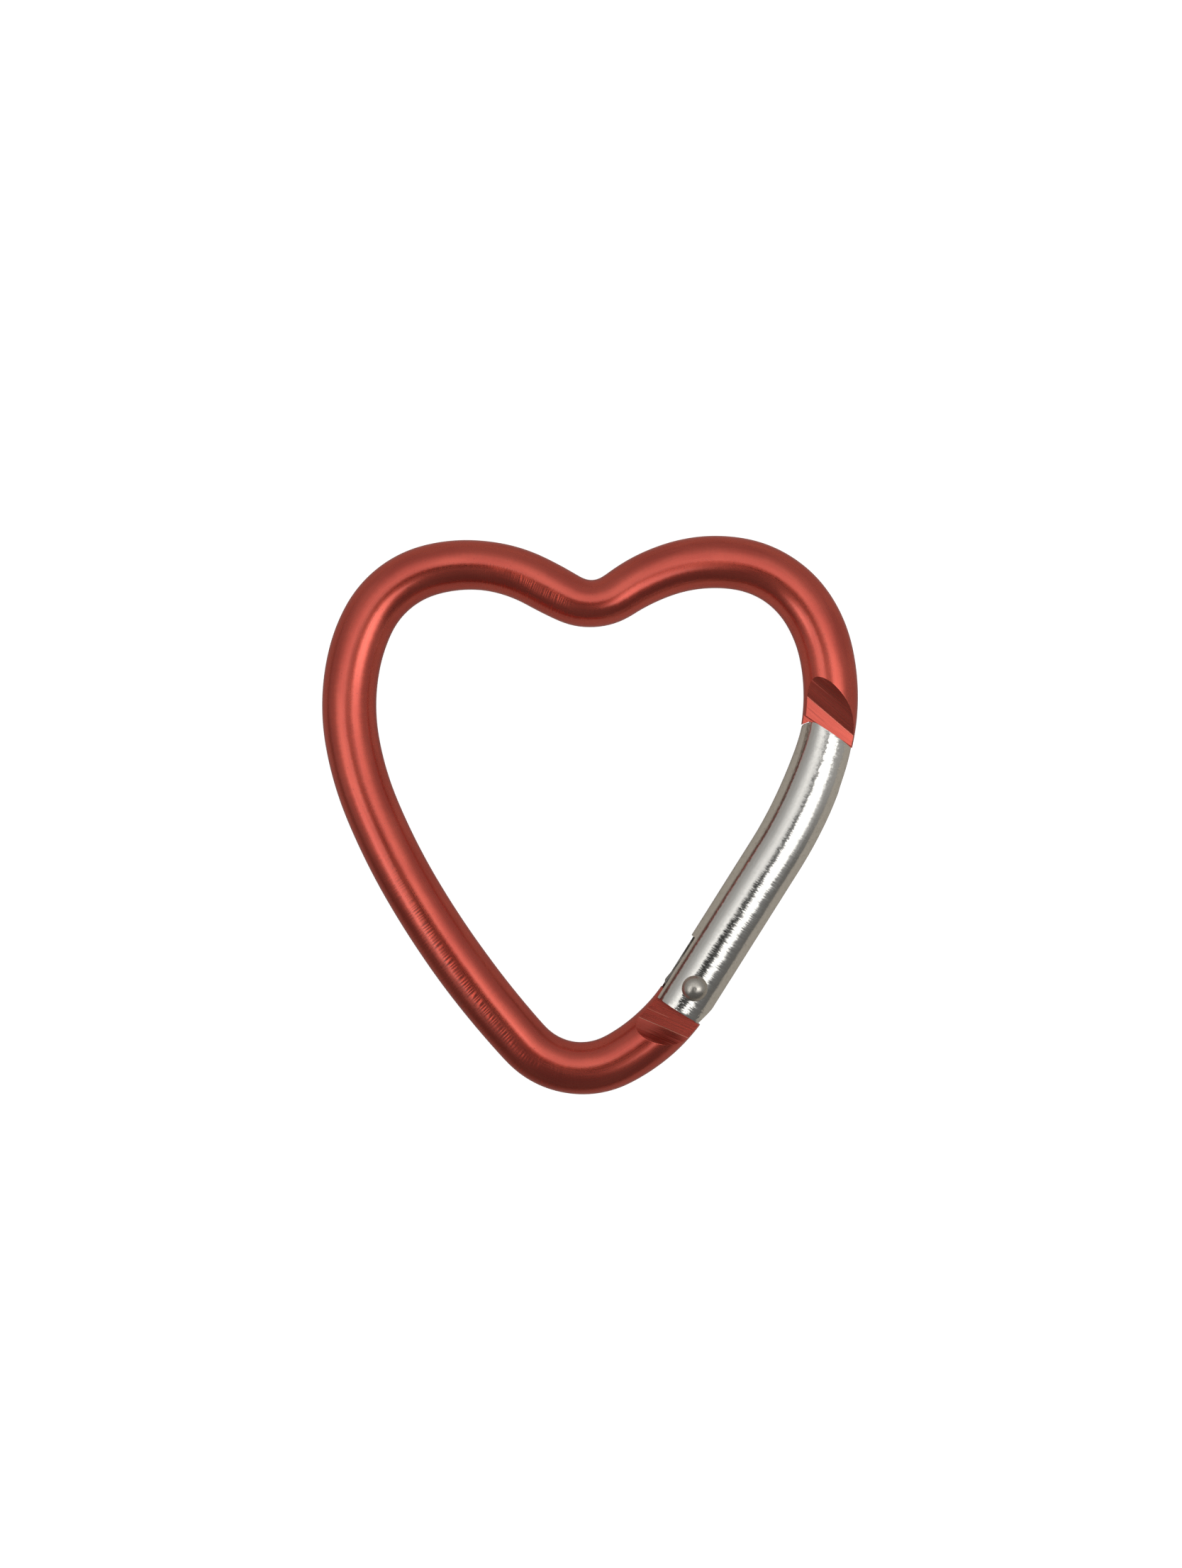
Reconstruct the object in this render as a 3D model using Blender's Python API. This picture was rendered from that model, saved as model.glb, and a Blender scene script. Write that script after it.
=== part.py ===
"""Heart-shaped snap hook: a bent rod, closed by a sprung tube gate that turns on a rivet.

The hook lies flat. The heart is in the XY plane with its point towards -Y, and +Z runs through
the thickness of the rod. Lengths are in millimetres and become metres through MM. A bend turns
left when its radius is positive. Heights marked "from the middle" count from the mid-plane that
the rod, the gate and the rivet share.
"""

import math

import bmesh
import bpy
import numpy as np
from mathutils import Vector

MM = 0.001

# Rod
ROD_HEIGHT = 7.8
ROD_SIDES = 24
# The rod's course runs from the nose, round both lobes and the point, to the rivet. Each row is
# a bend: its radius, the angle it turns through, and the rod's width at its middle. Bending
# narrows the rod in the plane of the heart. A radius of None is a straight, and its second
# number is a length.
ROD_START = (32.73, 7.42)
ROD_START_HEADING = 70.8
ROD_BENDS = [
    (29.0, 31.9, 7.75),  # nose and shoulder of the right lobe
    (19.0, 19.6, 7.65),
    (14.5, 48.3, 7.4),  # top right corner
    (21.0, 27.6, 7.45),
    (27.0, 17.1, 7.2),
    (-7.0, 63.0, 6.65),  # notch between the lobes
    (None, 5.0, 7.25),
    (21.0, 43.1, 7.0),
    (14.0, 48.0, 7.4),  # top left corner
    (24.0, 13.5, 7.65),
    (30.0, 23.1, 7.7),  # shoulder of the left lobe
    (46.0, 12.4, 7.7),
    (94.0, 7.9, 7.7),  # left arm
    (130.0, 12.0, 7.7),
    (11.0, 75.1, 7.35),  # point of the heart
    (26.0, 30.4, 7.75),
    (None, 1.6, 7.7),  # heel, up to the rivet
]

# Tenons: both ends of the rod are milled flat to go inside the gate
TENON_THICKNESS = 3.2
TENON_HALF_WIDTH = 2.75
EYE_RADIUS = 2.8
EYE_HALF_HEIGHT = 3.0  # before it is milled down to the tenon
NOSE_SHOULDER = (33.94, 14.18)
NOSE_SHOULDER_ANGLE = -40.5
NOSE_SCOOP = 3.5
HEEL_SHOULDER = (10.18, -30.09)
HEEL_SHOULDER_ANGLE = 156.7
HEEL_SCOOP = 2.3
SCOOP_RADIUS = 7.0
HEEL_TRIM_FROM = -4.2
SPRING_NOTCH_FROM = -2.5

# Gate: a tube whose course runs from the rivet up to the nose
PIVOT = (14.7, -24.4)
GATE_HEADING = 57.8
GATE_BENDS = [(None, 22.0), (62.0, 14.0), (30.0, 14.0)]
GATE_RADIUS = 4.05
GATE_NOSE_WIDTH = 7.5
PINCH_FROM = 29.0
GATE_WALL = 0.6
GATE_SIDES = 24
GATE_HEEL = -4.0
GATE_TOP = (34.1, 11.55)
GATE_TOP_ANGLE = -34.0
NOSE_CORNER = -3.8
NOSE_CORNER_RADIUS = 1.4
NOSE_TRIM_TO = 1.6
NOSE_TRIM_SLANT = 0.87
NOSE_OUTER_TRIM_TO = -1.45
NOSE_OUTER_HALF_WIDTH = 3.25
NOSE_TENON_END = -6.0
NOSE_BLADE_THICKNESS = 1.8
NOSE_BLADE_FROM = 0.2  # just clear of the gate's nose end
PIVOT_SLOT_TO = 6.0
PIVOT_SLOT_WIDTH = 3.8
PIVOT_SLOT_DEPTH_FROM = 2.0
NOSE_SLOT_FROM = 33.6
NOSE_SLOT_WIDTH = 2.4
NOSE_SLOT_DEPTH_FROM = 1.5
HEEL_CORNER_FROM = -1.0
HEEL_CORNER_CUT = 0.85

# Rivet
SHANK_RADIUS = 1.2
RIVET_HOLE_RADIUS = 1.35
HEAD_RADIUS = 1.83
HEAD_SEAT = 0.1
UPPER_HEAD_HEIGHT = 1.1
LOWER_HEAD_HEIGHT = 0.5
RIVET_SIDES = 24

# Leaf spring: anchored inside the gate, with its tip in the notch of the heel tenon. Each point
# of its middle line is a distance along the gate from the rivet and one towards the inside.
SPRING_THICKNESS = 0.35
SPRING_WIDTH = 2.6
SPRING_ROOT = (14.0, 2.78)
SPRING_KNEE = (5.0, 2.78)
SPRING_TIP = (-1.3, 3.62)
SPRING_CURL_RADIUS = 0.45
SPRING_CURL_ANGLE = 110.0

MIDDLE = GATE_RADIUS + HEAD_SEAT + LOWER_HEAD_HEIGHT
LONGEST_STEP = 5.0
LARGEST_TURN = 7.5
CLEAR = 12.0  # how far a cutter reaches past what it cuts
OVERSHOOT = 2.0  # the same, where something else stands further off


class Course:
    """A line in the plane of the heart, made of straights and arcs that meet without a corner."""

    def __init__(self, start, heading, bends):
        self.stretches = []
        station = 0.0
        point = np.array(start)
        heading = math.radians(heading)
        for radius, size, *_ in bends:
            curvature = 0.0 if radius is None else 1.0 / radius
            length = size if radius is None else abs(radius) * math.radians(size)
            self.stretches.append((station, length, point, heading, curvature))
            point, heading = self.advance(point, heading, curvature, length)
            station += length
        self.length = station

    @staticmethod
    def advance(point, heading, curvature, run):
        turned = heading + curvature * run
        if curvature == 0.0:
            move = run * np.array([math.cos(heading), math.sin(heading)])
        else:
            move = np.array(
                [math.sin(turned) - math.sin(heading), math.cos(heading) - math.cos(turned)]
            ) / curvature
        return point + move, turned

    def frame(self, station):
        """The point at a station, the direction there, and the direction to its left."""
        inside = [s for s in self.stretches if s[0] <= station] or self.stretches[:1]
        first, _, point, heading, curvature = inside[-1]
        point, heading = self.advance(point, heading, curvature, station - first)
        along = np.array([math.cos(heading), math.sin(heading)])
        left = np.array([-along[1], along[0]])
        return point, along, left

    def stations(self, first, last):
        """Stations from first to last, close together where the course bends."""
        found = [first]
        for start, length, _, _, curvature in self.stretches:
            turn = math.degrees(abs(curvature) * length)
            steps = max(1, math.ceil(length / LONGEST_STEP), math.ceil(turn / LARGEST_TURN))
            found += [start + length * i / steps for i in range(steps + 1)]
        found = [s for s in found if first <= s < last - 0.05] + [last]
        kept = [first]
        for station in sorted(found):
            if station - kept[-1] > 0.05:
                kept.append(station)
        return kept

    def mid_stations(self):
        return [start + length / 2 for start, length, _, _, _ in self.stretches]


ROD = Course(ROD_START, ROD_START_HEADING, ROD_BENDS)
GATE = Course(PIVOT, GATE_HEADING, GATE_BENDS)


def clear_scene():
    for obj in list(bpy.data.objects):
        bpy.data.objects.remove(obj, do_unlink=True)


def metal(name, colour, roughness):
    """A metal with the given base colour."""
    material = bpy.data.materials.new(name)
    material.use_nodes = True
    shader = material.node_tree.nodes["Principled BSDF"]
    shader.inputs["Base Color"].default_value = (*colour, 1.0)
    shader.inputs["Metallic"].default_value = 1.0
    shader.inputs["Roughness"].default_value = roughness
    return material


def finish_mesh(name, bm, parent=None):
    """Turns a bmesh in millimetres into an object with its origin on its parent."""
    origin = Vector((0.0, 0.0, 0.0)) if parent is None else parent.location / MM
    bmesh.ops.translate(bm, verts=bm.verts, vec=-origin)
    bmesh.ops.scale(bm, verts=bm.verts, vec=(MM, MM, MM))
    bmesh.ops.recalc_face_normals(bm, faces=bm.faces)
    mesh = bpy.data.meshes.new(name)
    bm.to_mesh(mesh)
    bm.free()
    mesh.shade_smooth()
    mesh.set_sharp_from_angle(angle=math.radians(35))
    obj = bpy.data.objects.new(name, mesh)
    obj.parent = parent
    bpy.context.scene.collection.objects.link(obj)
    return obj


def bridge(bm, loops):
    """Joins each loop of vertices to the next with quads."""
    for lower, upper in zip(loops, loops[1:]):
        for i in range(len(lower)):
            j = (i + 1) % len(lower)
            bm.faces.new((lower[i], lower[j], upper[j], upper[i]))


def ring(bm, course, station, half_width, half_height, sides):
    """A cross-section of the course, an ellipse drawn as a polygon that stands on a flat side."""
    point, _, left = course.frame(station)
    corner = 1.0 / math.cos(math.pi / sides)
    loop = []
    for i in range(sides):
        angle = 2 * math.pi * (i + 0.5) / sides - math.pi / 2
        x, y = point + left * half_width * corner * math.cos(angle)
        z = MIDDLE + half_height * corner * math.sin(angle)
        loop.append(bm.verts.new((x, y, z)))
    return loop


def prism(name, outline, origin, right, up, near, far, parent=None):
    """A cutter: an outline in the plane of right and up, extruded from near to far across it."""
    bm = bmesh.new()
    origin, right, up = Vector(origin), Vector(right), Vector(up)
    across = right.cross(up)
    loops = [
        [bm.verts.new(origin + right * a + up * b + across * depth) for a, b in outline]
        for depth in (near, far)
    ]
    bridge(bm, loops)
    bm.faces.new(loops[0])
    bm.faces.new(loops[1])
    return hide(finish_mesh(name, bm, parent))


def cylinder(name, centre, radius, low, high, parent=None):
    """A vertical cutter with flat sides towards the gate's own axes."""
    point, along, left = centre
    corner = radius / math.cos(math.pi / ROD_SIDES)
    turns = [2 * math.pi * (i + 0.5) / ROD_SIDES for i in range(ROD_SIDES)]
    outline = [(corner * math.cos(turn), corner * math.sin(turn)) for turn in turns]
    return prism(name, outline, (*point, MIDDLE), (*along, 0), (*left, 0), low, high, parent)


def rectangle(low_a, high_a, low_b, high_b):
    return [(low_a, low_b), (high_a, low_b), (high_a, high_b), (low_a, high_b)]


def hide(obj):
    obj.hide_render = True
    obj.display_type = "WIRE"
    return obj


def boolean(obj, operation, tools):
    for tool in tools:
        modifier = obj.modifiers.new(tool.name, "BOOLEAN")
        modifier.operation = operation
        modifier.solver = "EXACT"
        modifier.object = tool


def mill_outline(scoop):
    """Side view of the milling cutter: flat on the tenon, and a hollow ramp up out of the rod."""
    flat = TENON_THICKNESS / 2
    top = ROD_HEIGHT / 2
    chord = math.hypot(scoop, top - flat)
    slope = math.atan2(top - flat, -scoop)
    half_angle = math.asin(chord / 2 / SCOOP_RADIUS)
    start = slope + half_angle
    steps = 6
    ramp = []
    a, b = 0.0, flat
    for i in range(steps + 1):
        ramp.append((a, b))
        heading = start - 2 * half_angle * (i + 0.5) / steps
        a += 2 * SCOOP_RADIUS * math.sin(half_angle / steps) * math.cos(heading)
        b += 2 * SCOOP_RADIUS * math.sin(half_angle / steps) * math.sin(heading)
    rise = (ramp[-1][1] - ramp[-2][1]) / (ramp[-1][0] - ramp[-2][0])
    ramp.append((ramp[-1][0] - OVERSHOOT, ramp[-1][1] - OVERSHOOT * rise))
    return ramp + [(CLEAR, ramp[-1][1]), (CLEAR, flat)]


def mills(end, shoulder, angle, scoop):
    """The two cutters that mill an end of the rod flat, from above and from below."""
    side = (math.cos(math.radians(angle)), math.sin(math.radians(angle)), 0.0)
    tipward = (side[1], -side[0], 0.0)
    place = (*shoulder, MIDDLE)
    outline = mill_outline(scoop)
    return [
        prism(f"{end}_mill_upper", outline, place, tipward, (0, 0, 1), -CLEAR, CLEAR),
        prism(f"{end}_mill_lower", outline, place, tipward, (0, 0, -1), -CLEAR, CLEAR),
    ]


def beside_gate(name, station, outline, half_height, parent=None):
    """A cutter drawn in plan: distances along the gate from a station, and to its left."""
    point, along, left = GATE.frame(station)
    place = (*point, MIDDLE)
    return prism(name, outline, place, (*along, 0), (*left, 0), -half_height, half_height, parent)


def make_rod():
    """The body of the hook, with a tenon at each end and the bore that the rivet runs in."""
    bm = bmesh.new()
    mids = ROD.mid_stations()
    widths = [width for _, _, width in ROD_BENDS]
    loops = [
        ring(bm, ROD, s, np.interp(s, mids, widths) / 2, ROD_HEIGHT / 2, ROD_SIDES)
        for s in ROD.stations(0.0, ROD.length)
    ]
    bridge(bm, loops)
    bm.faces.new(loops[0])
    bm.faces.new(loops[-1])
    rod = finish_mesh("body", bm)
    at_pivot = GATE.frame(0.0)
    eye = cylinder("heel_eye", at_pivot, EYE_RADIUS, -EYE_HALF_HEIGHT, EYE_HALF_HEIGHT)
    boolean(rod, "UNION", [eye])
    heel_trim = rectangle(HEEL_TRIM_FROM, EYE_RADIUS + 1, -CLEAR, -TENON_HALF_WIDTH)
    spring_notch = rectangle(SPRING_NOTCH_FROM, EYE_RADIUS + 1, TENON_HALF_WIDTH, CLEAR)
    slant = GATE_RADIUS + 1.0 - TENON_HALF_WIDTH
    nose_trim = [
        (-CLEAR, TENON_HALF_WIDTH),
        (NOSE_TRIM_TO, TENON_HALF_WIDTH),
        (NOSE_TRIM_TO - slant * NOSE_TRIM_SLANT, TENON_HALF_WIDTH + slant),
        (-CLEAR, TENON_HALF_WIDTH + slant),
    ]
    nose_side = [
        (-CLEAR, -CLEAR),
        (NOSE_OUTER_TRIM_TO, -CLEAR),
        (NOSE_OUTER_TRIM_TO, -NOSE_OUTER_HALF_WIDTH),
        (NOSE_TENON_END, -TENON_HALF_WIDTH),
        (-CLEAR, -TENON_HALF_WIDTH),
    ]
    tools = mills("nose", NOSE_SHOULDER, NOSE_SHOULDER_ANGLE, NOSE_SCOOP)
    tools += mills("heel", HEEL_SHOULDER, HEEL_SHOULDER_ANGLE, HEEL_SCOOP)
    tools += [
        beside_gate("heel_outer_trim", 0.0, heel_trim, CLEAR),
        beside_gate("heel_spring_notch", 0.0, spring_notch, CLEAR),
        beside_gate("nose_inner_trim", nose_station(), nose_trim, CLEAR),
        beside_gate("nose_outer_trim", nose_station(), nose_side, CLEAR),
        cylinder("rivet_bore", at_pivot, RIVET_HOLE_RADIUS, -CLEAR, CLEAR),
    ]
    tools += blade_cutters()
    boolean(rod, "DIFFERENCE", tools)
    rod.data.materials.append(metal("red_anodised_aluminium", (0.50, 0.07, 0.04), 0.35))
    return rod


def nose_end_axes():
    """Directions along the gate's slanted nose end, and across it towards the nose."""
    angle = math.radians(GATE_TOP_ANGLE)
    return (math.cos(angle), math.sin(angle), 0.0), (-math.sin(angle), math.cos(angle), 0.0)


def blade_cutters():
    """Inside the gate the nose tenon is thinned to a blade that fits the gate's slot."""
    edge, noseward = nose_end_axes()
    place = (*GATE_TOP, MIDDLE)
    inside_gate = rectangle(-CLEAR, CLEAR, -CLEAR, NOSE_BLADE_FROM)
    half = NOSE_BLADE_THICKNESS / 2
    return [
        prism("nose_blade_upper", inside_gate, place, edge, noseward, half, CLEAR),
        prism("nose_blade_lower", inside_gate, place, edge, noseward, -CLEAR, -half),
    ]


def nose_station():
    """The station on the gate's course at the middle of its slanted nose end."""
    stations = np.linspace(GATE.length / 2, GATE.length, 200)
    gaps = [np.hypot(*(GATE.frame(s)[0] - np.array(GATE_TOP))) for s in stations]
    return float(stations[int(np.argmin(gaps))])


def gate_half_width(station):
    """The tube is round, and slightly pinched at its nose end."""
    pinch = np.clip((station - PINCH_FROM) / (nose_station() - PINCH_FROM), 0.0, 1.0)
    return GATE_RADIUS + (GATE_NOSE_WIDTH / 2 - GATE_RADIUS) * pinch**2


def make_gate(pivot):
    """A tube, slotted on its inner side at the rivet and on its outer side at the nose."""
    bm = bmesh.new()
    inner_radius = GATE_RADIUS - GATE_WALL
    outer, inner = [], []
    for s in GATE.stations(GATE_HEEL, GATE.length):
        half_width = gate_half_width(s)
        outer.append(ring(bm, GATE, s, half_width, GATE_RADIUS, GATE_SIDES))
        inner.append(ring(bm, GATE, s, half_width - GATE_WALL, inner_radius, GATE_SIDES))
    bridge(bm, outer)
    bridge(bm, inner)
    bridge(bm, [outer[0], inner[0]])
    bridge(bm, [outer[-1], inner[-1]])
    gate = finish_mesh("gate", bm, pivot)

    edge, noseward = nose_end_axes()
    turns = [math.pi / 8 * i for i in range(5)]
    beyond = [
        (NOSE_CORNER + NOSE_CORNER_RADIUS * (1 - math.sin(turn)),
         NOSE_CORNER_RADIUS * (math.cos(turn) - 1))
        for turn in turns
    ]
    beyond += [(-CLEAR, -NOSE_CORNER_RADIUS), (-CLEAR, CLEAR), (CLEAR, CLEAR), (CLEAR, 0.0)]
    place = (*GATE_TOP, MIDDLE)
    nose_cut = prism("nose_end_cut", beyond, place, edge, noseward, -CLEAR, CLEAR, pivot)

    beyond_heel = GATE_HEEL - OVERSHOOT
    slot = rectangle(beyond_heel, PIVOT_SLOT_TO, PIVOT_SLOT_DEPTH_FROM, CLEAR)
    pivot_slot = beside_gate("pivot_slot", 0.0, slot, PIVOT_SLOT_WIDTH / 2, pivot)

    radius = NOSE_SLOT_WIDTH / 2
    turns = [math.pi / 2 + math.pi * i / 8 for i in range(9)]
    keyway = [(radius + radius * math.cos(turn), radius * math.sin(turn)) for turn in turns]
    keyway += [(CLEAR + radius, -radius), (CLEAR + radius, radius)]
    point, along, left = GATE.frame(NOSE_SLOT_FROM)
    place = (*point, MIDDLE)
    nose_slot = prism(
        "nose_slot", keyway, place, (*along, 0), (0, 0, 1), NOSE_SLOT_DEPTH_FROM, CLEAR, pivot
    )

    full_cut = HEEL_CORNER_CUT * (HEEL_CORNER_FROM - beyond_heel) / (HEEL_CORNER_FROM - GATE_HEEL)
    wedge = [
        (HEEL_CORNER_FROM, -GATE_RADIUS - 0.05),
        (beyond_heel, -GATE_RADIUS + full_cut),
        (beyond_heel, -CLEAR),
        (HEEL_CORNER_FROM, -CLEAR),
    ]
    heel_corner = beside_gate("heel_corner_cut", 0.0, wedge, CLEAR, pivot)
    holes = cylinder("rivet_holes", GATE.frame(0.0), RIVET_HOLE_RADIUS, -CLEAR, CLEAR, pivot)
    boolean(gate, "DIFFERENCE", [nose_cut, pivot_slot, nose_slot, heel_corner, holes])
    gate.data.materials.append(metal("nickel_plated_steel", (0.66, 0.65, 0.62), 0.15))
    return gate


def dome(radius, height, steps):
    """Points of a spherical cap as (radius, rise), from its rim to its top."""
    sphere = (radius**2 + height**2) / (2 * height)
    rim = math.asin(radius / sphere)
    turns = [rim * (1 - i / steps) for i in range(steps + 1)]
    return [
        (sphere * math.sin(turn), height - sphere * (1 - math.cos(turn))) for turn in turns
    ]


def make_rivet(pivot):
    """A turned profile: shank, a high domed head above the gate and a low one below."""
    seat = GATE_RADIUS + HEAD_SEAT
    lower = [(r, -seat - rise) for r, rise in dome(HEAD_RADIUS, LOWER_HEAD_HEIGHT, 4)]
    upper = [(r, seat + rise) for r, rise in dome(HEAD_RADIUS, UPPER_HEAD_HEIGHT, 5)]
    profile = lower[-2::-1] + [(SHANK_RADIUS, -seat), (SHANK_RADIUS, seat)] + upper[:-1]
    bm = bmesh.new()
    point, along, left = GATE.frame(0.0)
    corner = 1.0 / math.cos(math.pi / RIVET_SIDES)
    loops = []
    for r, z in profile:
        loop = []
        for i in range(RIVET_SIDES):
            turn = 2 * math.pi * (i + 0.5) / RIVET_SIDES
            x, y = point + r * corner * (along * math.cos(turn) + left * math.sin(turn))
            loop.append(bm.verts.new((x, y, MIDDLE + z)))
        loops.append(loop)
    bridge(bm, loops)
    for loop, z in ((loops[0], lower[-1][1]), (loops[-1], upper[-1][1])):
        top = bm.verts.new((*point, MIDDLE + z))
        for i in range(RIVET_SIDES):
            bm.faces.new((loop[i], loop[(i + 1) % RIVET_SIDES], top))
    rivet = finish_mesh("gate_rivet", bm, pivot)
    rivet.data.materials.append(metal("rivet_steel", (0.45, 0.44, 0.42), 0.25))
    return rivet


def spring_line():
    """The spring's middle line: straight along the gate, a gentle S outwards, then a curl."""
    points = [SPRING_ROOT]
    (u0, v0), (u1, v1) = SPRING_KNEE, SPRING_TIP
    steps = 8
    for i in range(steps + 1):
        t = i / steps
        ease = t**3 * (t * (6 * t - 15) + 10)
        rise = (ease + t * t) / 2
        points.append((u0 + (u1 - u0) * t, v0 + (v1 - v0) * rise))
    heading = math.atan2(points[-1][1] - points[-2][1], points[-1][0] - points[-2][0])
    curl_steps = 5
    step = math.radians(SPRING_CURL_ANGLE) / curl_steps
    for _ in range(curl_steps):
        heading += step
        u, v = points[-1]
        points.append(
            (
                u + SPRING_CURL_RADIUS * step * math.cos(heading),
                v + SPRING_CURL_RADIUS * step * math.sin(heading),
            )
        )
    return points


def make_spring(pivot):
    """A strip of spring steel, bent along spring_line."""
    line = np.array(spring_line())
    run = np.gradient(line, axis=0)
    run /= np.hypot(run[:, 0], run[:, 1])[:, None]
    side = np.stack([-run[:, 1], run[:, 0]], axis=1) * SPRING_THICKNESS / 2
    bm = bmesh.new()
    point, along, left = GATE.frame(0.0)
    half = SPRING_WIDTH / 2
    loops = []
    for middle, offset in zip(line, side):
        corners = []
        for (u, v), z in ((middle - offset, -half), (middle + offset, -half),
                          (middle + offset, half), (middle - offset, half)):
            x, y = point + along * u + left * v
            corners.append(bm.verts.new((x, y, MIDDLE + z)))
        loops.append(corners)
    bridge(bm, loops)
    bm.faces.new(loops[0])
    bm.faces.new(loops[-1])
    spring = finish_mesh("gate_spring", bm, pivot)
    spring.data.materials.append(metal("spring_steel", (0.30, 0.30, 0.30), 0.35))
    return spring


def main():
    clear_scene()
    pivot = bpy.data.objects.new("gate_pivot", None)
    pivot.location = (PIVOT[0] * MM, PIVOT[1] * MM, MIDDLE * MM)
    bpy.context.scene.collection.objects.link(pivot)
    make_rod()
    make_gate(pivot)
    make_rivet(pivot)
    make_spring(pivot)


main()
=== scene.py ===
"""The look of the heart-shaped snap hook: finer surfaces, metals, floor, room and camera.

Shapes repeat the driving dimensions of the CAD model, in millimetres, in the same frame. The rod
and the gate are drawn again with many more sides, smoother bends and rounded edges, and each one
stands for its CAD node.
"""

import math

import bmesh
import bpy
import numpy as np
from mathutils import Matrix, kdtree


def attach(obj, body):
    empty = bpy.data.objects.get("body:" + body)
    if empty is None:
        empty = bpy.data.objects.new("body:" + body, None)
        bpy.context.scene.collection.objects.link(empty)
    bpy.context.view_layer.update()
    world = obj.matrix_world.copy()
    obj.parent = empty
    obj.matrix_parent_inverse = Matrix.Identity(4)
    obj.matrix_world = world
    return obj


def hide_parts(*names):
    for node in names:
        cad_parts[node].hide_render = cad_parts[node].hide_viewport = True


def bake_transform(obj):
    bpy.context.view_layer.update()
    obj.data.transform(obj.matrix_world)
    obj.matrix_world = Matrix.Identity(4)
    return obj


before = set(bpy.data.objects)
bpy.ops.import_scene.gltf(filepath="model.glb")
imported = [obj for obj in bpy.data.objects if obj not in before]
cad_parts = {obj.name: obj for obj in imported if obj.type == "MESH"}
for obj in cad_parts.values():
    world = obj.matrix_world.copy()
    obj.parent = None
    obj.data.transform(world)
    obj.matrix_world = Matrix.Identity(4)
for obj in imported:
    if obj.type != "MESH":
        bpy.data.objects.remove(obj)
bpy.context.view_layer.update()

MM = 0.001
SCENE = bpy.context.scene

# --------------------------------------------------------------------------- dimensions, in mm
ROD_HEIGHT = 7.8
ROD_START = (32.73, 7.42)
ROD_START_HEADING = 70.8
# Each bend of the rod: its radius, the angle it turns through and the rod's width at its middle.
# A radius of None is a straight, and its second number is a length.
ROD_BENDS = [
    (29.0, 31.9, 7.75),
    (19.0, 19.6, 7.65),
    (14.5, 48.3, 7.4),
    (21.0, 27.6, 7.45),
    (27.0, 17.1, 7.2),
    (-7.0, 63.0, 6.65),
    (None, 5.0, 7.25),
    (21.0, 43.1, 7.0),
    (14.0, 48.0, 7.4),
    (24.0, 13.5, 7.65),
    (30.0, 23.1, 7.7),
    (46.0, 12.4, 7.7),
    (94.0, 7.9, 7.7),
    (130.0, 12.0, 7.7),
    (11.0, 75.1, 7.35),
    (26.0, 30.4, 7.75),
    (None, 1.6, 7.7),
]
TENON_THICKNESS = 3.2
TENON_HALF_WIDTH = 2.75
EYE_RADIUS = 2.8
EYE_HALF_HEIGHT = 3.0  # before it is milled down to the tenon
NOSE_SHOULDER = (33.94, 14.18)
NOSE_SHOULDER_ANGLE = -40.5
NOSE_SCOOP = 3.5
HEEL_SHOULDER = (10.18, -30.09)
HEEL_SHOULDER_ANGLE = 156.7
HEEL_SCOOP = 2.3
SCOOP_RADIUS = 7.0
HEEL_TRIM_FROM = -4.2
SPRING_NOTCH_FROM = -2.5

PIVOT = (14.7, -24.4)
GATE_HEADING = 57.8
GATE_BENDS = [(None, 22.0), (62.0, 14.0), (30.0, 14.0)]
GATE_RADIUS = 4.05
GATE_NOSE_WIDTH = 7.5
PINCH_FROM = 29.0
GATE_WALL = 0.6
GATE_HEEL = -4.0
GATE_TOP = (34.1, 11.55)
GATE_TOP_ANGLE = -34.0
NOSE_CORNER = -3.8
NOSE_CORNER_RADIUS = 1.3
NOSE_TRIM_TO = 1.28
NOSE_TRIM_SLANT = 0.62
NOSE_OUTER_TRIM_TO = -1.3
NOSE_OUTER_HALF_WIDTH = 3.25
NOSE_TENON_END = -6.0
NOSE_BLADE_THICKNESS = 1.8
NOSE_BLADE_FROM = 0.2  # just clear of the gate's nose end
PIVOT_SLOT_TO = 6.0
PIVOT_SLOT_WIDTH = 3.8
PIVOT_SLOT_DEPTH_FROM = 2.0
NOSE_SLOT_FROM = 33.6
NOSE_SLOT_WIDTH = 2.4
NOSE_SLOT_DEPTH_FROM = 1.5
HEEL_CORNER_FROM = -1.0
HEEL_CORNER_CUT = 0.85

SHANK_RADIUS = 1.2
RIVET_HOLE_RADIUS = 1.35
HEAD_RADIUS = 1.83
HEAD_SEAT = 0.1
UPPER_HEAD_HEIGHT = 1.1
LOWER_HEAD_HEIGHT = 0.5
HEAD_RIM = 0.06
MARK_RADIUS = 0.32
MARK_DEPTH = 0.018

SPRING_THICKNESS = 0.35
SPRING_WIDTH = 2.6
SPRING_ROOT = (14.0, 2.78)
SPRING_KNEE = (5.0, 2.78)
SPRING_TIP = (-1.3, 3.62)
SPRING_CURL_RADIUS = 0.45
SPRING_CURL_ANGLE = 110.0

MIDDLE = GATE_RADIUS + HEAD_SEAT + LOWER_HEAD_HEIGHT
CLEAR = 12.0  # how far a cutter reaches past what it cuts
OVERSHOOT = 2.0  # the same, where something else stands further off

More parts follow.
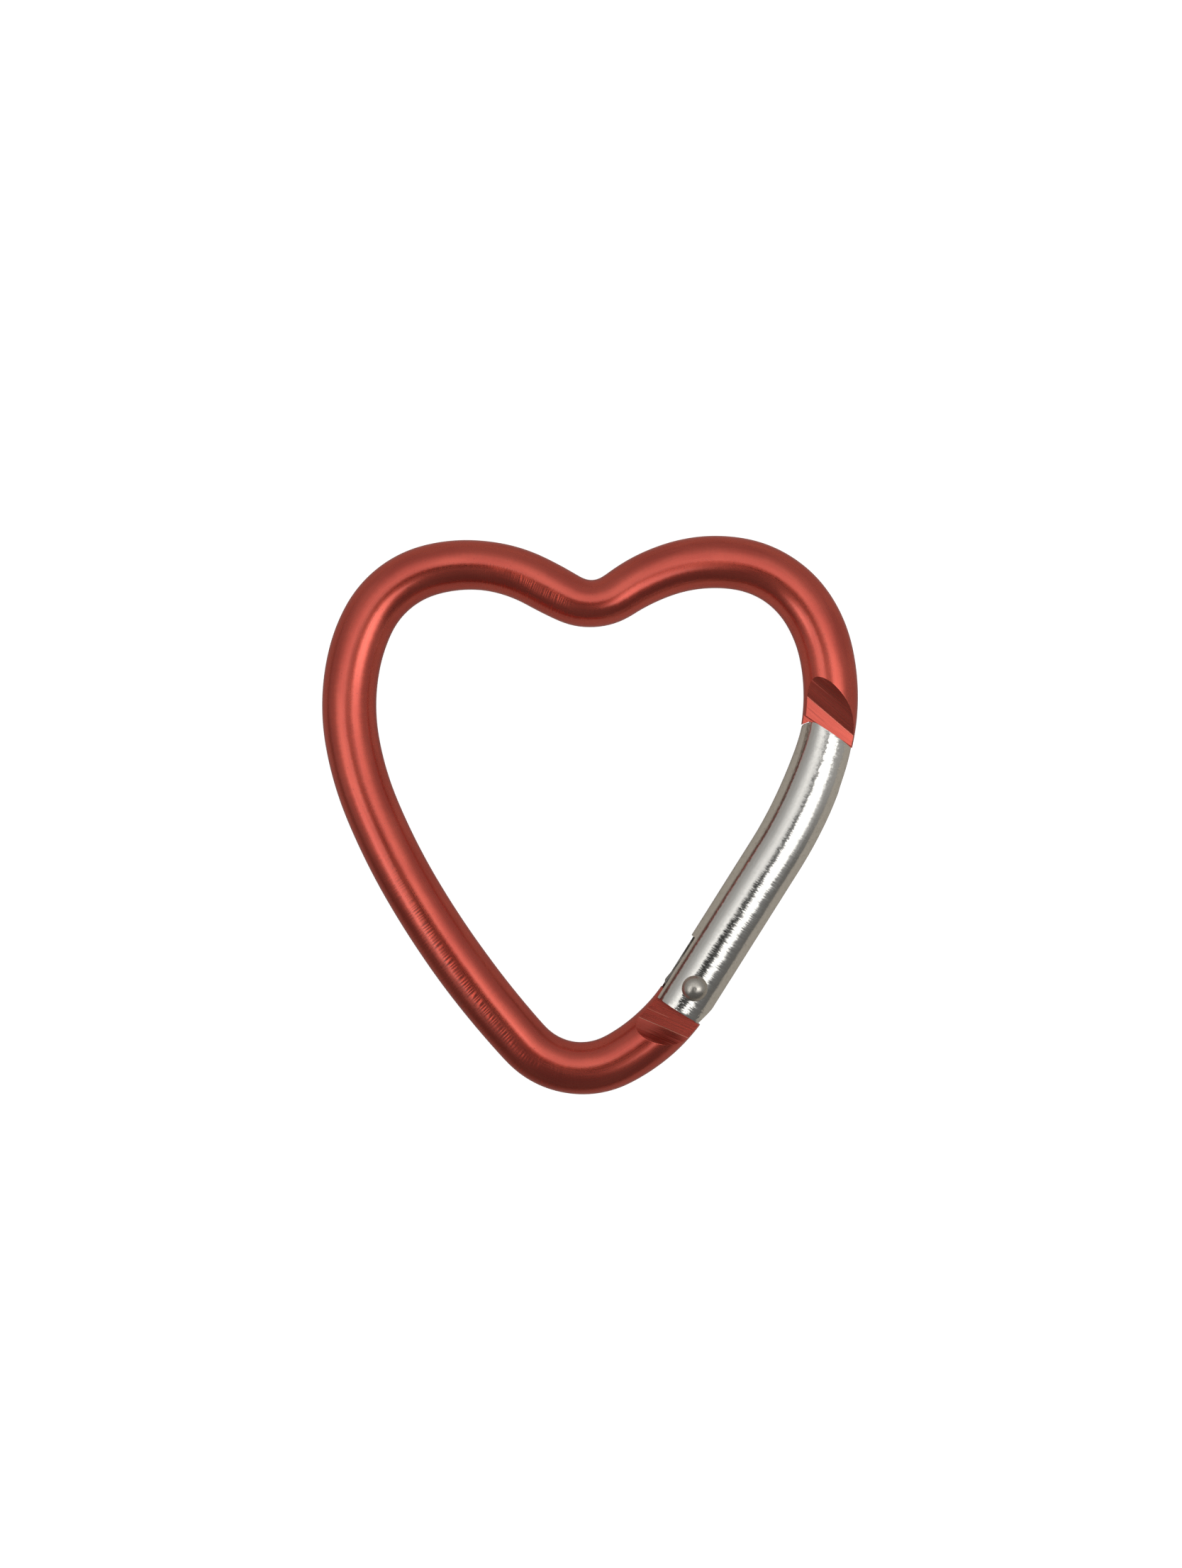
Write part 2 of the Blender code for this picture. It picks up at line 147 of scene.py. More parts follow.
# --------------------------------------------------------------------------------- fineness
ROD_SIDES = 144
ROD_STEP = 0.5
ROD_END_STEP = 0.2
ROD_FINE_ENDS = 13.0
GATE_SIDES = 144
GATE_STEP = 0.4
RIVET_SIDES = 96
CURVE_STEP = 0.05  # of the tables that the two courses are read from
EASE = 3.0  # length over which one bend's curvature turns into the next one's
WIDTH_EASE = 5.0  # the same for the rod's width
ROD_EDGE = 0.06  # how far the rounding of the sharp edges reaches
GATE_EDGE = 0.09
SPRING_EDGE = 0.06
EDGE_SEGMENTS = 2
EDGE_ANGLE = 32.0  # edges that bend more than this are sharp
MERGE_WITHIN = 0.012  # what the cutters leave closer together than this becomes one
COLLAPSE_BELOW = 0.004
NORMAL_WEIGHT = 60
TURNED_EDGE_ANGLE = 50.0


class Course:
    """A line in the plane of the heart, whose curvature changes gradually from bend to bend."""

    def __init__(self, start, heading, bends, before=0.0, after=0.0):
        curvatures, self.lengths = [], []
        for radius, size, *_ in bends:
            curvatures.append(0.0 if radius is None else 1.0 / radius)
            self.lengths.append(size if radius is None else abs(radius) * math.radians(size))
        self.length = sum(self.lengths)
        ends = np.cumsum(self.lengths)
        self.s = np.arange(-before, self.length + after + CURVE_STEP, CURVE_STEP)
        bend = np.searchsorted(ends, self.s, side="right").clip(0, len(ends) - 1)
        raw = np.array(curvatures)[bend]
        raw[self.s < 0] = curvatures[0]
        eased = smooth(raw, EASE)
        self.turn = math.radians(heading) + self.integrate(eased)
        plain_turn = math.radians(heading) + self.integrate(raw)
        plain = self.walk(start, plain_turn)
        path = self.walk(start, self.turn)
        # The eased line drifts a little from the plain one, and is bent back onto it.
        drift = smooth(plain - path, 4 * EASE)
        self.path = path + drift

    def integrate(self, values):
        total = np.concatenate([[0.0], np.cumsum((values[1:] + values[:-1]) / 2 * CURVE_STEP)])
        return total - np.interp(0.0, self.s, total)

    def walk(self, start, turn):
        return np.stack(
            [start[0] + self.integrate(np.cos(turn)), start[1] + self.integrate(np.sin(turn))],
            axis=1,
        )

    def frame(self, station):
        """Points at the stations, the directions there, and the directions to their left."""
        station = np.asarray(station, float)
        point = np.stack([np.interp(station, self.s, self.path[:, i]) for i in (0, 1)], -1)
        turn = np.interp(station, self.s, self.turn)
        along = np.stack([np.cos(turn), np.sin(turn)], -1)
        left = np.stack([-along[..., 1], along[..., 0]], -1)
        return point, along, left

    def mid_stations(self):
        ends = np.cumsum(self.lengths)
        return ends - np.array(self.lengths) / 2


def smooth(values, width):
    """A running average over the given length, repeated so that it has no corners."""
    count = max(1, int(width / CURVE_STEP / 2)) | 1
    kernel = np.ones(count) / count
    out = np.array(values, float)
    flat = out.ndim == 1
    out = out[:, None] if flat else out
    for _ in range(2):
        padded = np.pad(out, ((count // 2, count // 2), (0, 0)), mode="edge")
        out = np.stack([np.convolve(padded[:, i], kernel, "valid") for i in range(out.shape[1])], 1)
    return out[:, 0] if flat else out


ROD = Course(ROD_START, ROD_START_HEADING, ROD_BENDS)
GATE = Course(PIVOT, GATE_HEADING, GATE_BENDS, before=8.0, after=2.0)


def rod_half_width(station):
    mids = ROD.mid_stations()
    widths = np.array([width for _, _, width in ROD_BENDS])
    table = smooth(np.interp(ROD.s, mids, widths), WIDTH_EASE)
    return np.interp(station, ROD.s, table) / 2


def nose_station():
    """The station on the gate's course at the middle of its slanted nose end."""
    stations = np.linspace(GATE.length / 2, GATE.length, 400)
    gaps = np.hypot(*(GATE.frame(stations)[0] - np.array(GATE_TOP)).T)
    return float(stations[int(np.argmin(gaps))])


NOSE_STATION = nose_station()


def gate_half_width(station):
    pinch = np.clip((np.asarray(station) - PINCH_FROM) / (NOSE_STATION - PINCH_FROM), 0.0, 1.0)
    return GATE_RADIUS + (GATE_NOSE_WIDTH / 2 - GATE_RADIUS) * pinch**2


# --------------------------------------------------------------------------------- mesh tools
def mesh_object(name, points, faces, material=None):
    """An object in metres from points in millimetres."""
    mesh = bpy.data.meshes.new(name)
    mesh.from_pydata(np.asarray(points) * MM, [], faces)
    mesh.validate()
    bm = bmesh.new()
    bm.from_mesh(mesh)
    bmesh.ops.recalc_face_normals(bm, faces=bm.faces)
    bm.to_mesh(mesh)
    bm.free()
    mesh.shade_smooth()
    obj = bpy.data.objects.new(name, mesh)
    SCENE.collection.objects.link(obj)
    if material is not None:
        mesh.materials.append(material)
    return obj


def tube_faces(rings, sides, first=0, closed_ends=True):
    """Quads that join rings of vertices, and a polygon at each end."""
    faces = []
    for r in range(rings - 1):
        base = first + r * sides
        for i in range(sides):
            j = (i + 1) % sides
            faces.append((base + i, base + j, base + sides + j, base + sides + i))
    if closed_ends:
        faces.append(tuple(first + i for i in range(sides)))
        last = first + (rings - 1) * sides
        faces.append(tuple(last + i for i in range(sides)))
    return faces


def sweep(course, stations, half_width, half_height, sides):
    """Rings of points round a course."""
    point, _, left = course.frame(stations)
    angle = 2 * math.pi * (np.arange(sides) + 0.5) / sides - math.pi / 2
    lateral = half_width[:, None] * np.cos(angle)
    rise = half_height * np.sin(angle) + np.zeros_like(lateral)
    xy = point[:, None, :] + left[:, None, :] * lateral[..., None]
    return np.concatenate([xy, (MIDDLE + rise)[..., None]], axis=2).reshape(-1, 3)


def prism(name, outline, origin, right, up, near, far, material=None):
    """A cutter: an outline in the plane of right and up, extruded from near to far across it."""
    origin, right, up = (np.array(v, float) for v in (origin, right, up))
    across = np.cross(right, up)
    n = len(outline)
    points = [
        origin + right * a + up * b + across * depth for depth in (near, far) for a, b in outline
    ]
    faces = [(i, (i + 1) % n, n + (i + 1) % n, n + i) for i in range(n)]
    faces += [tuple(range(n)), tuple(range(n, 2 * n))]
    return mesh_object(name, points, faces, material)


def circle(radius, sides):
    turns = 2 * math.pi * (np.arange(sides) + 0.5) / sides
    return [(radius * math.cos(turn), radius * math.sin(turn)) for turn in turns]


def cylinder(name, radius, low, high, material=None, sides=96):
    point, along, left = GATE.frame(0.0)
    place = (*point, MIDDLE)
    return prism(name, circle(radius, sides), place, (*along, 0), (*left, 0), low, high, material)


def beside_gate(name, station, outline, half_height, material=None):
    """A cutter drawn in plan: distances along the gate from a station, and to its left."""
    point, along, left = GATE.frame(station)
    place = (*point, MIDDLE)
    return prism(
        name, outline, place, (*along, 0), (*left, 0), -half_height, half_height, material
    )


def rectangle(low_a, high_a, low_b, high_b):
    return [(low_a, low_b), (high_a, low_b), (high_a, high_b), (low_a, high_b)]


def carve(obj, operation, tools):
    """Applies the tools to the object one after another, and removes them."""
    for tool in tools:
        modifier = obj.modifiers.new(tool.name, "BOOLEAN")
        modifier.operation = operation
        modifier.solver = "EXACT"
        modifier.material_mode = "TRANSFER"
        modifier.object = tool
    apply_modifiers(obj)
    for tool in tools:
        mesh = tool.data
        bpy.data.objects.remove(tool, do_unlink=True)
        bpy.data.meshes.remove(mesh)


def apply_modifiers(obj):
    graph = bpy.context.evaluated_depsgraph_get()
    graph.update()
    mesh = bpy.data.meshes.new_from_object(obj.evaluated_get(graph), depsgraph=graph)
    old = obj.data
    obj.modifiers.clear()
    obj.data = mesh
    bpy.data.meshes.remove(old)
    mesh.name = obj.name


def soften_edges(obj, width):
    """Rounds the sharp edges, then weights the normals so that large faces stay flat."""
    bm = bmesh.new()
    bm.from_mesh(obj.data)
    bmesh.ops.remove_doubles(bm, verts=bm.verts, dist=MERGE_WITHIN * MM)
    bmesh.ops.dissolve_degenerate(bm, edges=bm.edges, dist=COLLAPSE_BELOW * MM)
    bm.to_mesh(obj.data)
    bm.free()
    bevel = obj.modifiers.new("rounded_edges", "BEVEL")
    bevel.limit_method = "ANGLE"
    bevel.angle_limit = math.radians(EDGE_ANGLE)
    bevel.width = width * MM
    bevel.segments = EDGE_SEGMENTS
    bevel.use_clamp_overlap = True
    bevel.miter_outer = "MITER_ARC"
    apply_modifiers(obj)
    obj.data.shade_smooth()
    normals = obj.modifiers.new("face_weights", "WEIGHTED_NORMAL")
    normals.keep_sharp = True
    normals.weight = NORMAL_WEIGHT


def store_straight(obj, course):
    """Stores for each point its place on the unbent piece, in mm, and the course's direction."""
    mesh = obj.data
    count = len(mesh.vertices)
    points = np.empty(count * 3, np.float32)
    mesh.vertices.foreach_get("co", points)
    points = points.reshape(-1, 3) / MM
    centres, along, _ = course.frame(course.s)
    skip = 8
    tree = kdtree.KDTree(len(centres[::skip]))
    for i, (x, y) in enumerate(centres[::skip]):
        tree.insert((x, y, 0.0), i)
    tree.balance()
    near = np.array([tree.find((p[0], p[1], 0.0))[1] for p in points]) * skip
    offset = points[:, :2] - centres[near]
    station = course.s[near] + (offset * along[near]).sum(1)
    centre, ahead, left = course.frame(station)
    lateral = ((points[:, :2] - centre) * left).sum(1)
    straight = np.stack([station, lateral, points[:, 2] - MIDDLE], 1)
    ahead = np.concatenate([ahead, np.zeros((count, 1))], 1)
    for name, values in (("straight", straight), ("ahead", ahead)):
        attribute = mesh.attributes.new(name, "FLOAT_VECTOR", "POINT")
        attribute.data.foreach_set("vector", values.astype(np.float32).ravel())


# ----------------------------------------------------------------------------------- materials
class Nodes:
    """Short calls to build the node tree of a new material or world."""

    def __init__(self, owner):
        owner.use_nodes = True
        self.owner = owner
        self.tree = owner.node_tree
        self.shader = self.tree.nodes.get("Principled BSDF")

    def add(self, kind, **settings):
        node = self.tree.nodes.new(kind)
        for key, value in settings.items():
            setattr(node, key, value)
        return node

    def link(self, output, socket):
        self.tree.links.new(output, socket)

    def put(self, node, socket, value):
        target = node.inputs[socket]
        if isinstance(value, bpy.types.NodeSocket):
            self.link(value, target)
        else:
            target.default_value = value

    def attribute(self, name):
        return self.add("ShaderNodeAttribute", attribute_name=name).outputs["Vector"]

    def object_space(self):
        """Position on the object, in millimetres."""
        coords = self.add("ShaderNodeTexCoord").outputs["Object"]
        return self.vector("MULTIPLY", coords, (1000.0, 1000.0, 1000.0))

    def vector(self, operation, a, b):
        node = self.add("ShaderNodeVectorMath", operation=operation)
        self.put(node, 0, a)
        self.put(node, 1, b)
        return node.outputs[0]

    def split(self, vector):
        node = self.add("ShaderNodeSeparateXYZ")
        self.link(vector, node.inputs[0])
        return node.outputs

    def math(self, operation, a, b=0.0):
        node = self.add("ShaderNodeMath", operation=operation)
        self.put(node, 0, a)
        self.put(node, 1, b)
        return node.outputs[0]

    def total(self, first, *others):
        for value in others:
            first = self.math("ADD", first, value)
        return first

    def product(self, first, *others):
        for value in others:
            first = self.math("MULTIPLY", first, value)
        return first

    def noise(self, place, per_mm, detail=2.0, roughness=0.5):
        """Noise over a place in mm, with its own fineness along each axis."""
        node = self.add("ShaderNodeTexNoise")
        self.link(self.vector("MULTIPLY", place, per_mm), node.inputs["Vector"])
        for socket, number in (("Scale", 1.0), ("Detail", detail), ("Roughness", roughness)):
            node.inputs[socket].default_value = number
        return node.outputs["Fac"]

    def swing(self, noise, amount):
        """A noise about its middle, times an amount."""
        return self.product(self.math("SUBTRACT", noise, 0.5), amount)

    def cells(self, vector, scale):
        node = self.add("ShaderNodeTexVoronoi", feature="F1")
        self.link(vector, node.inputs["Vector"])
        node.inputs["Scale"].default_value = scale
        return node.outputs["Distance"]

    def ramp(self, value, low, high, to_low=0.0, to_high=1.0):
        node = self.add("ShaderNodeMapRange", interpolation_type="SMOOTHSTEP", clamp=True)
        self.put(node, "Value", value)
        for socket, number in (("From Min", low), ("From Max", high),
                               ("To Min", to_low), ("To Max", to_high)):
            self.put(node, socket, number)
        return node.outputs["Result"]

    def window(self, value, start, rise, end, fall):
        """One between start + rise and end - fall, and nought outside start and end."""
        up = self.ramp(value, start, start + rise)
        down = self.ramp(value, end - fall, end, 1.0, 0.0)
        return self.product(up, down)

    def mix(self, factor, a, b):
        node = self.add("ShaderNodeMix", data_type="RGBA")
        self.put(node, "Factor", factor)
        for socket, value in (("A", a), ("B", b)):
            target = next(s for s in node.inputs if s.name == socket and s.type == "RGBA")
            if isinstance(value, bpy.types.NodeSocket):
                self.link(value, target)
            else:
                target.default_value = (*value, 1.0)
        return next(s for s in node.outputs if s.type == "RGBA")

    def line(self, value, at, half_width):
        """One on a thin line where the value is reached, and nought beside it."""
        off = self.math("ABSOLUTE", self.math("SUBTRACT", value, at))
        return self.ramp(off, half_width * 0.4, half_width, 1.0, 0.0)

    def waves(self, phase, per_mm):
        """A sine of a length in mm, with so many waves to the mm."""
        return self.math("SINE", self.product(phase, 2 * math.pi * per_mm))

    def tilted(self, sideways, lengthways):
        """The surface's normal, tilted to the side of the piece's course and along it."""
        ahead = self.add("ShaderNodeVectorTransform", vector_type="VECTOR",
                         convert_from="OBJECT", convert_to="WORLD")
        self.link(self.attribute("ahead"), ahead.inputs[0])
        normal = self.add("ShaderNodeNewGeometry").outputs["Normal"]
        side = self.vector("CROSS_PRODUCT", normal, ahead.outputs[0])
        for direction, amount in ((side, sideways), (ahead.outputs[0], lengthways)):
            shift = self.add("ShaderNodeVectorMath", operation="SCALE")
            self.link(direction, shift.inputs[0])
            self.put(shift, "Scale", amount)
            normal = self.vector("ADD", normal, shift.outputs[0])
        return self.vector("NORMALIZE", normal, (0, 0, 0))

    def bump(self, height, microns, normal=None, strength=1.0):
        node = self.add("ShaderNodeBump")
        self.link(height, node.inputs["Height"])
        node.inputs["Distance"].default_value = microns * 1e-6
        node.inputs["Strength"].default_value = strength
        if normal is not None:
            self.link(normal, node.inputs["Normal"])
        return node.outputs["Normal"]


RED = (0.67, 0.100, 0.063)
RED_DEEP = (0.58, 0.076, 0.048)
RED_DARK = (0.16, 0.018, 0.012)
# A bright colour for milled lines: a painted highlight of the burr along the edge, and a bright
# scratch beside it.
RED_SCRATCH_AND_HIGHLIGHT = (0.95, 0.42, 0.30)
RED_AT_GRAZING = (0.80, 0.33, 0.31)
NICKEL = (0.74, 0.72, 0.68)
NICKEL_STAINED = (0.46, 0.42, 0.35)
# A dark brownish colour for a line along the gate: a painted reflection of the red arm.
NICKEL_ARM_REFLECTION = (0.22, 0.17, 0.14)
RIVET_STEEL = (0.53, 0.50, 0.45)
SPRING_STEEL = (0.30, 0.29, 0.28)
COAT_WEIGHT = 0.8
COAT_IOR = 1.5

# Ripples across the rod where it was bent: the stations they start and end at, each with the
# length they fade over, the places across the rod they fade in between, how far they wander,
# how many there are to the mm, and how far they tilt the surface.
RIPPLES = [
    ((58.0, 4.0, 77.0, 6.0), (-0.6, 0.8), 1.2, 2.9, 0.12),  # inside the heart beside the notch
    ((122.0, 26.0, 172.0, 8.0), (0.6, -0.8), 1.6, 2.2, 0.09),  # outside the lower left
]
RIPPLE_SLANT = 0.10

# Lines painted beside the cutter's edge on the milled ends: the bright line on the edge itself is a
# painted highlight of its burr, and the others are marks left beside it. Each row gives the
# distance from the edge, where the line starts and ends along it, its half width, its colour and
# how strongly it shows.
NOSE_MARKS_AND_HIGHLIGHT = [
    (0.0, -9.0, 9.0, 0.05, RED_SCRATCH_AND_HIGHLIGHT, 0.35),
    (1.15, -3.2, 0.4, 0.05, RED_DARK, 0.45),
]
HEEL_MARKS_AND_HIGHLIGHT = [
    (0.0, -9.0, 9.0, 0.06, RED_SCRATCH_AND_HIGHLIGHT, 0.75),
    (1.6, -0.6, 4.5, 0.05, RED_SCRATCH_AND_HIGHLIGHT, 0.45),
]
MARK_AND_HIGHLIGHT_FADE = 0.6

ARM_REFLECTION_AT = 3.08  # a painted reflection of the red arm: a dark line along the gate, at this distance to its inner side
ARM_REFLECTION_HALF_WIDTH = 0.27


def new_material(name):
    return Nodes(bpy.data.materials.new(name))


def red_coating(n, colour, roughness, coat_roughness):
    """Dyed anodising: coloured metal under a thin clear layer."""
    n.link(colour, n.shader.inputs["Base Color"])
    n.link(roughness, n.shader.inputs["Roughness"])
    n.shader.inputs["Metallic"].default_value = 1.0
    n.shader.inputs["Specular Tint"].default_value = (*RED_AT_GRAZING, 1.0)
    n.shader.inputs["Coat Weight"].default_value = COAT_WEIGHT
    n.shader.inputs["Coat Roughness"].default_value = coat_roughness
    n.shader.inputs["Coat IOR"].default_value = COAT_IOR


def rippled(n, straight):
    """How far the bending ripples tilt the surface along the rod."""
    station, lateral, _ = n.split(straight)
    wander = n.noise(straight, (0.8, 0.05, 0.05))
    patches = n.ramp(n.noise(straight, (0.6, 0.35, 0.35), 3.0), 0.35, 0.62, 0.25, 1.0)
    slanted = n.total(station, n.product(lateral, RIPPLE_SLANT))
    bands = []
    for stations, side, wandering, per_mm, tilt in RIPPLES:
        wave = n.waves(n.total(slanted, n.product(wander, wandering)), per_mm)
        bands.append(n.product(wave, n.window(station, *stations), n.ramp(lateral, *side), tilt))
    return n.product(n.total(*bands), patches)


def anodised():
    """Red anodised rod: drawn lines along it, pits, and ripples across it where it was bent."""
    n = new_material("red_anodised_aluminium")
    straight = n.attribute("straight")
    cloud = n.noise(straight, (0.10, 0.5, 0.5), 3.0)
    colour = n.mix(n.ramp(cloud, 0.35, 0.65), RED, RED_DEEP)
    pits = n.cells(n.vector("MULTIPLY", straight, (1.0, 1.6, 1.6)), 0.9)
    pit = n.ramp(pits, 0.035, 0.075, 1.0, 0.0)
    colour = n.mix(n.product(pit, 0.6), colour, RED_DARK)
    drawn = n.noise(straight, (0.12, 9.0, 9.0), 3.0)
    grain = n.noise(straight, (5.0, 11.0, 11.0))
    rough = n.total(n.ramp(drawn, 0.3, 0.7, 0.0, 0.05), n.ramp(grain, 0.3, 0.7, 0.25, 0.29))
    red_coating(n, colour, rough, 0.18)

    ripples = rippled(n, straight)
    faint = n.noise(straight, (2.2, 0.5, 0.5), 3.0)
    sideways = n.total(n.swing(faint, 0.09), n.product(ripples, 0.9))
    normal = n.bump(drawn, 4.0, n.tilted(sideways, ripples))
    normal = n.bump(grain, 2.0, normal)
    normal = n.bump(pit, 12.0, normal, 0.7)
    n.link(normal, n.shader.inputs["Normal"])
    return n.owner


def milled(name, shoulder, angle, marks):
    """The same metal where an end was milled flat, brushed along the cutter's edge, with lines
    painted beside the edge, the bright one on the edge a painted highlight.
    """
    n = new_material(name)
    x, y, _ = n.split(n.object_space())
    x = n.math("SUBTRACT", x, shoulder[0])
    y = n.math("SUBTRACT", y, shoulder[1])
    cos, sin = math.cos(math.radians(angle)), math.sin(math.radians(angle))
    edgeways = n.total(n.product(x, cos), n.product(y, sin))
    tipward = n.total(n.product(x, sin), n.product(y, -cos))
    flat = n.add("ShaderNodeCombineXYZ")
    n.link(edgeways, flat.inputs["X"])
    n.link(tipward, flat.inputs["Y"])
    brushed = n.noise(flat.outputs[0], (0.15, 6.0, 1.0))
    crossed = n.noise(flat.outputs[0], (6.0, 0.8, 1.0))
    colour = n.mix(n.ramp(brushed, 0.2, 0.8), RED, RED_DEEP)
    # Lines painted over the colour; the bright line on the cutter's edge is a painted highlight.
    for at, start, end, half_width, tint, strength in marks:
        ends = n.window(edgeways, start, MARK_AND_HIGHLIGHT_FADE, end, MARK_AND_HIGHLIGHT_FADE)
        mark = n.product(n.line(tipward, at, half_width), ends, strength)
        colour = n.mix(mark, colour, tint)
    red_coating(n, colour, n.ramp(brushed, 0.3, 0.7, 0.24, 0.32), 0.22)
    normal = n.bump(brushed, 1.1)
    normal = n.bump(crossed, 0.8, normal)
    n.link(normal, n.shader.inputs["Normal"])
    return n.owner


def nickel():
    """Bright nickel on a rolled tube: ragged polishing marks across it, dents, pits, stains, and a
    dark line along it that is a painted reflection of the red arm.
    """
    n = new_material("nickel_plated_steel")
    straight = n.attribute("straight")
    station, lateral, _ = n.split(straight)
    specks = n.noise(straight, (2.4, 3.6, 3.6), 4.0, 0.65)
    sides = n.ramp(n.math("ABSOLUTE", lateral), 2.4, 3.4, 0.06, 0.50)
    stain = n.product(n.ramp(specks, 0.52, 0.64), sides)
    # A painted reflection of the red arm: a dark wavering line along the gate.
    wavering = n.total(lateral, n.ramp(specks, 0.3, 0.7, -0.06, 0.06))
    arm_reflection = n.line(wavering, ARM_REFLECTION_AT, ARM_REFLECTION_HALF_WIDTH)
    arm_reflection = n.product(arm_reflection, n.ramp(specks, 0.32, 0.55, 0.25, 0.70))
    colour = n.mix(arm_reflection, n.mix(stain, NICKEL, NICKEL_STAINED), NICKEL_ARM_REFLECTION)
    n.link(colour, n.shader.inputs["Base Color"])
    n.shader.inputs["Metallic"].default_value = 1.0

    across = n.noise(straight, (7.5, 0.34, 0.34), 4.0, 0.62)
    cloud = n.noise(straight, (0.35, 0.8, 0.8))
    dents = n.noise(straight, (2.6, 2.6, 2.6))
    pits = n.cells(straight, 2.2)
    pit = n.product(n.ramp(pits, 0.06, 0.16, 1.0, 0.0), n.ramp(cloud, 0.45, 0.6))
    rough = n.total(n.ramp(across, 0.35, 0.7, 0.13, 0.21), n.product(stain, 0.2))
    n.link(rough, n.shader.inputs["Roughness"])

    # The marks are deepest in the middle towards the pivot, and the dents lie near both ends.
    ragged = n.product(
        n.ramp(lateral, 2.6, 0.2),
        n.ramp(lateral, -2.6, -0.4, 0.55, 1.0),
        n.ramp(station, 34.0, 8.0, 0.15, 0.50),
    )
    dented = n.total(
        n.ramp(station, 28.0, 40.0, 0.05, 0.32),
        n.ramp(station, -0.5, -3.5, 0.0, 0.35),
    )
    tilt = n.total(n.swing(across, n.total(ragged, 0.05)), n.swing(dents, dented))
    tilt = n.product(tilt, n.ramp(lateral, 2.4, 0.4))
    normal = n.bump(across, 4.0, n.tilted(tilt, 0.0))
    normal = n.bump(cloud, 20.0, normal)
    normal = n.bump(specks, 3.0, normal)
    normal = n.bump(pit, 10.0, normal, 0.6)
    n.link(normal, n.shader.inputs["Normal"])
    return n.owner


def steel(name, colour, low, high):
    """A plain steel with a fine grain, and a roughness between low and high."""
    n = new_material(name)
    grain = n.noise(n.object_space(), (6.0, 6.0, 6.0), 3.0)
    darker = tuple(0.85 * c for c in colour)
    n.link(n.mix(n.ramp(grain, 0.4, 0.7), colour, darker), n.shader.inputs["Base Color"])
    n.shader.inputs["Metallic"].default_value = 1.0
    n.link(n.ramp(grain, 0.3, 0.7, low, high), n.shader.inputs["Roughness"])
    n.link(n.bump(grain, 1.5), n.shader.inputs["Normal"])
    return n.owner


# -------------------------------------------------------------------------------------- pieces
def mill_outline(scoop):
    """Side view of the milling cutter: flat on the tenon, and a hollow ramp up out of the rod."""
    flat = TENON_THICKNESS / 2
    top = ROD_HEIGHT / 2
    chord = math.hypot(scoop, top - flat)
    slope = math.atan2(top - flat, -scoop)
    half_angle = math.asin(chord / 2 / SCOOP_RADIUS)
    start = slope + half_angle
    steps = 24
    ramp = []
    a, b = 0.0, flat
    step = 2 * SCOOP_RADIUS * math.sin(half_angle / steps)
    for i in range(steps + 1):
        ramp.append((a, b))
        heading = start - 2 * half_angle * (i + 0.5) / steps
        a += step * math.cos(heading)
        b += step * math.sin(heading)
    rise = (ramp[-1][1] - ramp[-2][1]) / (ramp[-1][0] - ramp[-2][0])
    ramp.append((ramp[-1][0] - OVERSHOOT, ramp[-1][1] - OVERSHOOT * rise))
    return ramp + [(CLEAR, ramp[-1][1]), (CLEAR, flat)]


def mills(end, shoulder, angle, scoop, material):
    side = (math.cos(math.radians(angle)), math.sin(math.radians(angle)), 0.0)
    tipward = (side[1], -side[0], 0.0)
    place = (*shoulder, MIDDLE)
    outline = mill_outline(scoop)
    return [
        prism(f"{end}_{up}", outline, place, tipward, (0, 0, up), -CLEAR, CLEAR, material)
        for up in (1, -1)
    ]


def nose_end_axes():
    """Directions along the gate's slanted nose end, and across it towards the nose."""
    angle = math.radians(GATE_TOP_ANGLE)
    return (math.cos(angle), math.sin(angle), 0.0), (-math.sin(angle), math.cos(angle), 0.0)


def blade_cutters(material):
    """Inside the gate the nose tenon is thinned to a blade that fits the gate's slot."""
    edge, noseward = nose_end_axes()
    place = (*GATE_TOP, MIDDLE)
    inside_gate = rectangle(-CLEAR, CLEAR, -CLEAR, NOSE_BLADE_FROM)
    half = NOSE_BLADE_THICKNESS / 2
    return [
        prism("nose_blade_upper", inside_gate, place, edge, noseward, half, CLEAR, material),
        prism("nose_blade_lower", inside_gate, place, edge, noseward, -CLEAR, -half, material),
    ]


